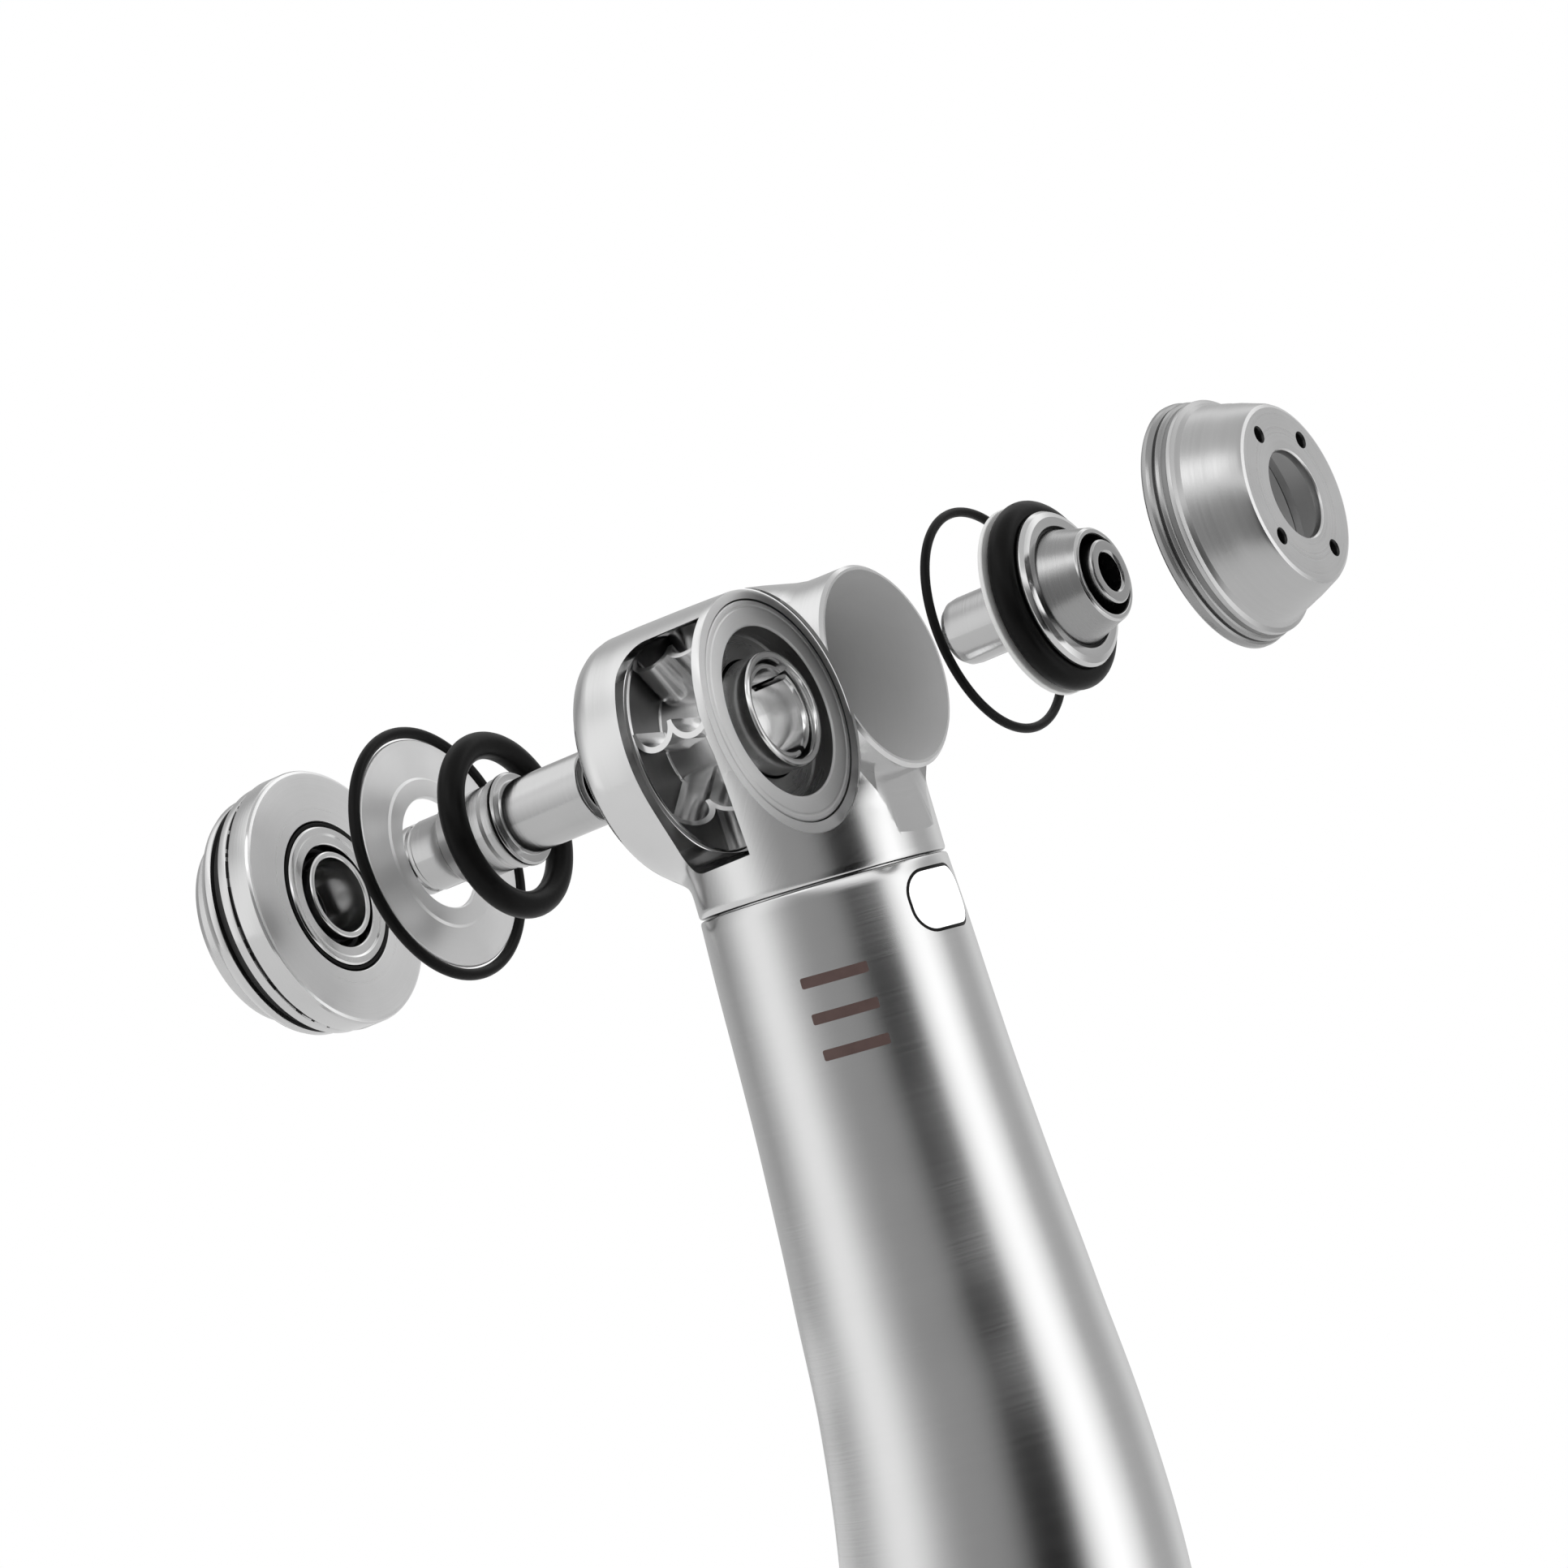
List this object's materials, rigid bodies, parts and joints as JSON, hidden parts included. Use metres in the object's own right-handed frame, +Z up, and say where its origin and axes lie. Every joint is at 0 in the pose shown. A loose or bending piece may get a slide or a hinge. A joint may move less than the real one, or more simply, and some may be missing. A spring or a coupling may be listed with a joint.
{
  "type": "dental high speed handpiece",
  "caption": "Slim bent-neck dental turbine handpiece with its turbine, spindle, bearings, seals and caps drawn apart along the head axis, and a light window in the neck.",
  "frame": {"origin": "centre of the flat rear face of the hose coupling, on the grip's axis", "axes": "+Z up the grip from the hose end to the head, +X towards the side the bur points to, the neck and head axis lie in the XZ plane"},
  "size_m": [0.0587, 0.0164, 0.1312],
  "materials": {
    "satin_steel": "satin turned stainless steel with fine lathe marks",
    "polished_steel": "bright ground and polished hardened steel",
    "black_rubber": "black matt nitrile rubber with a soft highlight",
    "white_ptfe": "white semi-matt fluoropolymer sheet",
    "dark_phenolic": "near-black cloth-filled phenolic",
    "window_glass": "clear glass window, milky from the light rod behind it",
    "fibre_glass": "clear drawn glass rod",
    "brass": "machined brass",
    "tube_steel": "drawn stainless tube"
  },
  "bodies": {
    "handpiece": {"head_housing": "satin_steel", "handle_sleeve": "satin_steel", "light_window": "window_glass", "window_seal": "black_rubber", "light_guide": "fibre_glass", "exhaust_tube": "tube_steel", "drive_air_tube": "tube_steel", "water_tube": "tube_steel", "chip_air_tube": "tube_steel", "tube_holder": "brass", "hose_coupling": "satin_steel", "coupling_oring": "black_rubber"},
    "rotor": {"impeller": "polished_steel", "chuck_sleeve": "polished_steel", "chuck_collet": "polished_steel"},
    "spindle_body": {"spindle": "polished_steel"},
    "rear_seal": {"rear_washer": "satin_steel", "rear_seal_ring": "black_rubber"},
    "rear_damper": {"rear_damper_ring": "black_rubber"},
    "rear_cap": {"back_cap": "satin_steel", "bearing_damper": "black_rubber", "rear_bearing_outer": "polished_steel", "button_spring": "polished_steel"},
    "button": {"push_button": "satin_steel"},
    "rear_inner_race": {"rear_bearing_inner": "polished_steel"},
    "rear_cage": {"rear_ball_cage": "dark_phenolic"},
    "front_seal": {"front_seal_ring": "black_rubber"},
    "front_unit": {"front_bearing_carrier": "satin_steel", "front_damper_ring": "black_rubber", "front_seal_disc": "white_ptfe"},
    "front_shaft": {"front_journal": "polished_steel"},
    "front_cage": {"front_ball_cage": "dark_phenolic"},
    "nose_cap": {"front_cap": "satin_steel"}
  },
  "joints": [
    {"name": "rotor_spin", "type": "hinge", "parent": "handpiece", "child": "rotor", "pos_m": [-0.01422, 0, 0.11616], "axis": [0.9205, 0, 0.3907], "continuous": true},
    {"name": "rear_cap_slide", "type": "slide", "parent": "handpiece", "child": "rear_cap", "axis": [0.9205, 0, 0.3907], "range_m": [0, 0.0186]},
    {"name": "front_cap_slide", "type": "slide", "parent": "handpiece", "child": "nose_cap", "axis": [-0.9205, 0, -0.3907], "range_m": [0, 0.01926]},
    {"name": "button_press", "type": "slide", "parent": "rear_cap", "child": "button", "axis": [0.9205, 0, 0.3907], "range_m": [0, 0.0008], "stiffness_N_per_m": 1000, "springref_m": -0.0005, "deforming": ["button_spring"]},
    {"name": "spindle_slide", "type": "slide", "parent": "rotor", "child": "spindle_body", "axis": [0.9205, 0, 0.3907], "range_m": [0, 0.0111]},
    {"name": "rear_seal_slide", "type": "slide", "parent": "handpiece", "child": "rear_seal", "axis": [0.9205, 0, 0.3907], "range_m": [0, 0.0127]},
    {"name": "rear_damper_slide", "type": "slide", "parent": "handpiece", "child": "rear_damper", "axis": [0.9205, 0, 0.3907], "range_m": [0, 0.0097]},
    {"name": "rear_inner_spin", "type": "hinge", "parent": "rear_cap", "child": "rear_inner_race", "pos_m": [-0.03889, 0, 0.10569], "axis": [0.9205, 0, 0.3907], "continuous": true},
    {"name": "rear_cage_spin", "type": "hinge", "parent": "rear_cap", "child": "rear_cage", "pos_m": [-0.03889, 0, 0.10569], "axis": [0.9205, 0, 0.3907], "continuous": true},
    {"name": "front_seal_slide", "type": "slide", "parent": "handpiece", "child": "front_seal", "axis": [-0.9205, 0, -0.3907], "range_m": [0, 0.0067]},
    {"name": "front_unit_slide", "type": "slide", "parent": "handpiece", "child": "front_unit", "axis": [-0.9205, 0, -0.3907], "range_m": [0, 0.0097]},
    {"name": "front_shaft_spin", "type": "hinge", "parent": "front_unit", "child": "front_shaft", "pos_m": [0.00002, 0, 0.1222], "axis": [0.9205, 0, 0.3907], "continuous": true},
    {"name": "front_cage_spin", "type": "hinge", "parent": "front_unit", "child": "front_cage", "pos_m": [0.00002, 0, 0.1222], "axis": [0.9205, 0, 0.3907], "continuous": true}
  ],
  "couplings": [
    {"joint": "spindle_slide", "follows": "rear_cap_slide", "ratio": 0.5941},
    {"joint": "rear_seal_slide", "follows": "rear_cap_slide", "ratio": 0.6796},
    {"joint": "rear_damper_slide", "follows": "rear_cap_slide", "ratio": 0.5161},
    {"joint": "front_seal_slide", "follows": "front_cap_slide", "ratio": 0.3437},
    {"joint": "front_unit_slide", "follows": "front_cap_slide", "ratio": 0.4984},
    {"joint": "rear_inner_spin", "follows": "rotor_spin", "ratio": 1},
    {"joint": "front_shaft_spin", "follows": "rotor_spin", "ratio": 1},
    {"joint": "rear_cage_spin", "follows": "rotor_spin", "ratio": 0.43},
    {"joint": "front_cage_spin", "follows": "rotor_spin", "ratio": 0.41}
  ]
}
